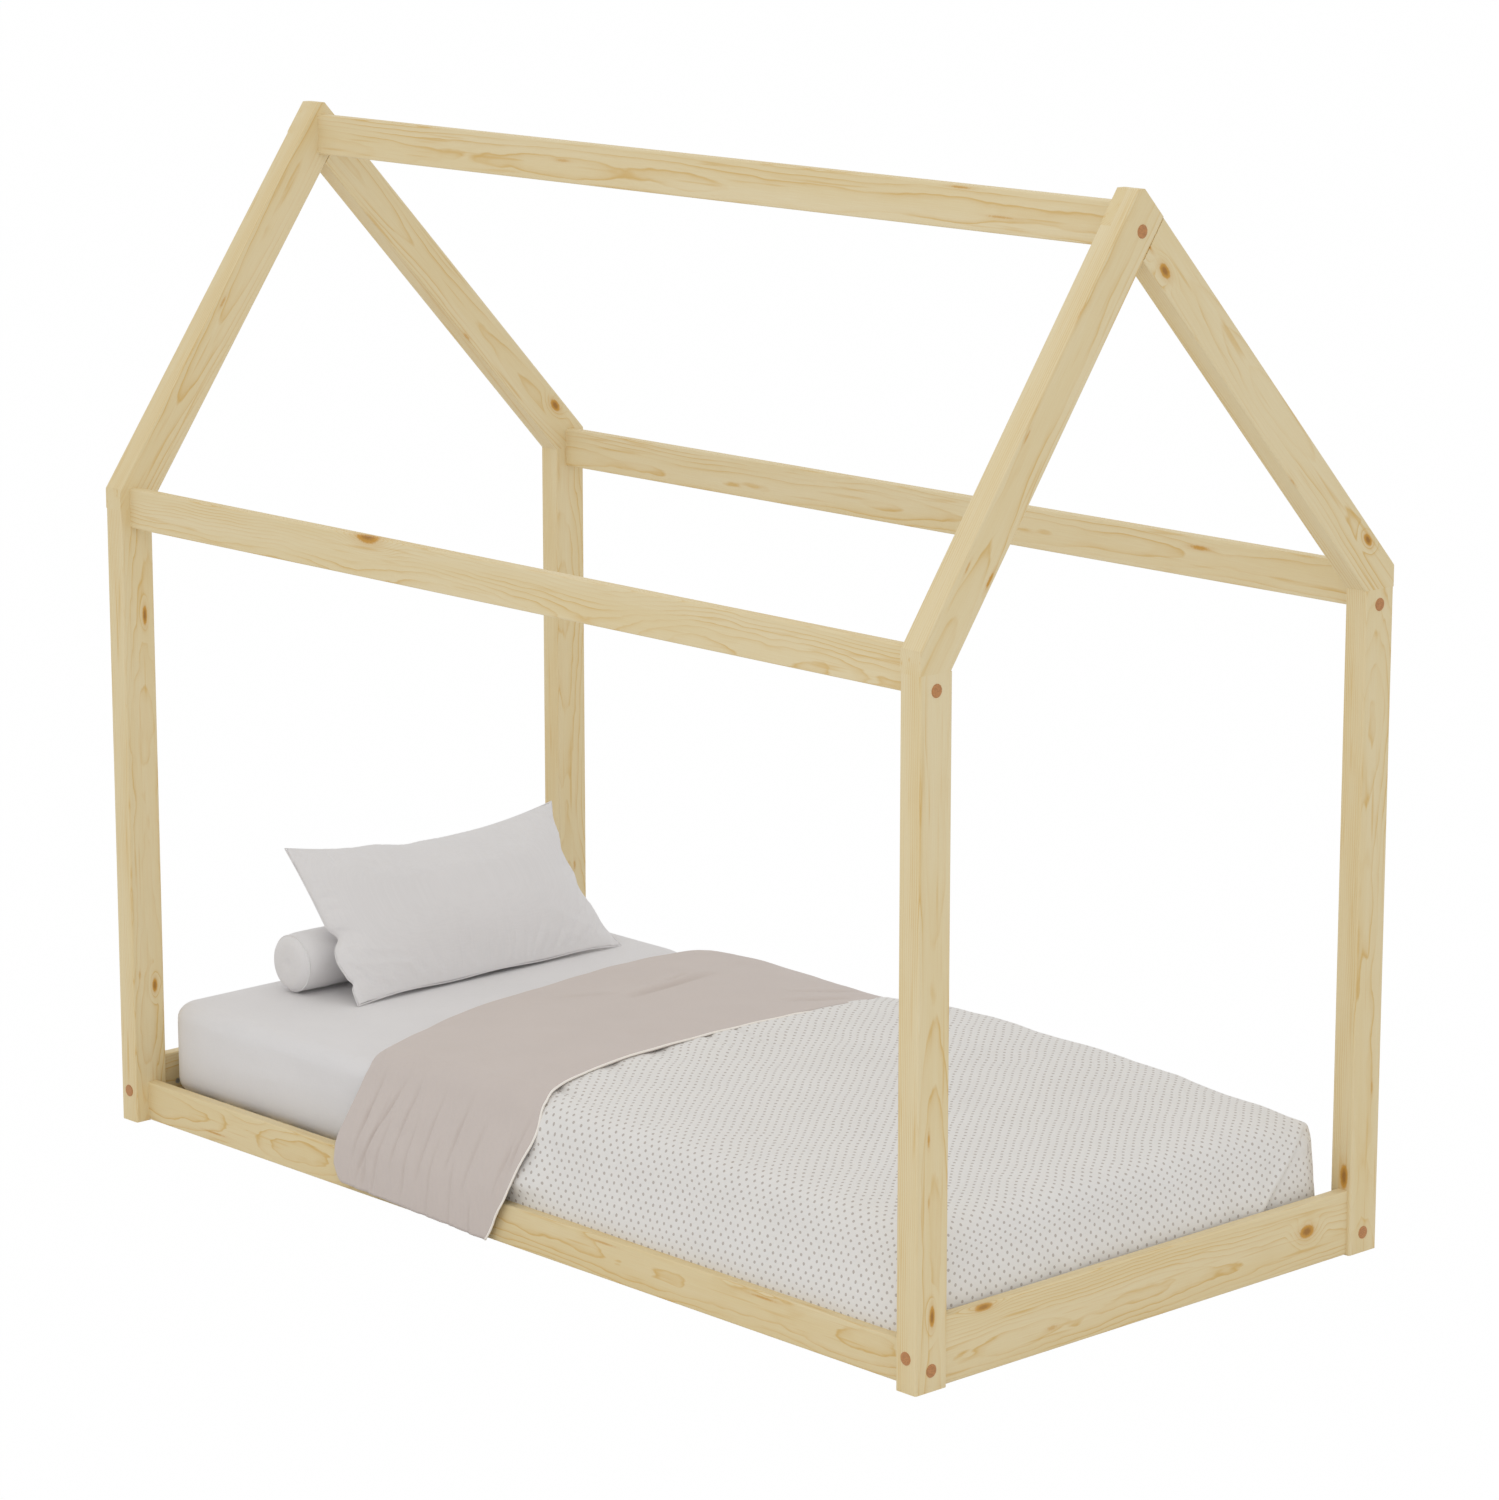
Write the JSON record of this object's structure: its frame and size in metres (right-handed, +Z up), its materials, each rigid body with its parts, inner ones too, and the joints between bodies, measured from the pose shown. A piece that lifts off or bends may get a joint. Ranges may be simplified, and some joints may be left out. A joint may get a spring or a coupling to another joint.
{
  "type": "montessori bed",
  "caption": "Low wooden floor bed for a child with an open house-shaped frame, slatted base, mattress, bolster, pillow and a dotted duvet turned back over the side.",
  "frame": {"origin": "on the floor under the middle of the bed, z 0 at the undersides of the posts", "axes": "X along the bed with the foot end at +X and the pillow end at -X, Y across it with the near side of the picture at -Y, +Z up"},
  "size_m": [2.0024, 1.0604, 1.773],
  "materials": {
    "pine_frame": "planed pale pine, clear matt finish, fine grain with small amber knots",
    "pine_base": "planed pale pine, unfinished",
    "zinc_steel": "bright zinc",
    "yellow_steel": "yellow zinc",
    "cap_plastic": "smooth matt, tan",
    "dowel_wood": "ribbed beech",
    "mattress_cover": "woven ticking over foam",
    "white_cotton": "soft matt cotton, off-white",
    "duvet_cotton": "soft matt cotton, white with small greige dots, plain greige reverse"
  },
  "bodies": {
    "frame": {"post_foot_near": "pine_frame", "post_foot_far": "pine_frame", "post_head_near": "pine_frame", "post_head_far": "pine_frame", "rafter_foot_near": "pine_frame", "rafter_foot_far": "pine_frame", "rafter_head_near": "pine_frame", "rafter_head_far": "pine_frame", "ridge_beam": "pine_frame", "eaves_rail_near": "pine_frame", "eaves_rail_far": "pine_frame", "side_rail_near": "pine_frame", "side_rail_far": "pine_frame", "end_rail_foot": "pine_frame", "end_rail_head": "pine_frame", "ledge_near": "pine_base", "ledge_far": "pine_base", "slat_01": "pine_base", "slat_02": "pine_base", "slat_03": "pine_base", "slat_04": "pine_base", "slat_05": "pine_base", "slat_06": "pine_base", "slat_07": "pine_base", "slat_08": "pine_base", "slat_09": "pine_base", "slat_10": "pine_base", "slat_11": "pine_base", "slat_12": "pine_base", "slat_13": "pine_base", "slat_14": "pine_base", "rail_bolts": "zinc_steel", "barrel_nuts": "zinc_steel", "eaves_screws": "zinc_steel", "ridge_screws": "zinc_steel", "bolt_caps": "cap_plastic", "post_dowels": "dowel_wood", "rail_dowels": "dowel_wood", "ledge_screws": "yellow_steel", "slat_screws": "yellow_steel"},
    "mattress": {"mattress_core": "mattress_cover", "fitted_sheet": "white_cotton"},
    "duvet": {"duvet": "duvet_cotton"},
    "bolster": {"bolster": "white_cotton"},
    "pillow": {"pillow": "white_cotton"}
  },
  "joints": [
    {"name": "mattress_lift", "type": "slide", "parent": "frame", "child": "mattress", "axis": [0, 0, 1], "range_m": [0, 0.3]},
    {"name": "duvet_lift", "type": "slide", "parent": "mattress", "child": "duvet", "axis": [0, 0, 1], "range_m": [0, 0.35]},
    {"name": "bolster_lift", "type": "slide", "parent": "mattress", "child": "bolster", "axis": [0, 0, 1], "range_m": [0, 0.25]},
    {"name": "pillow_lift", "type": "slide", "parent": "bolster", "child": "pillow", "axis": [0, 0, 1], "range_m": [0, 0.25]}
  ]
}
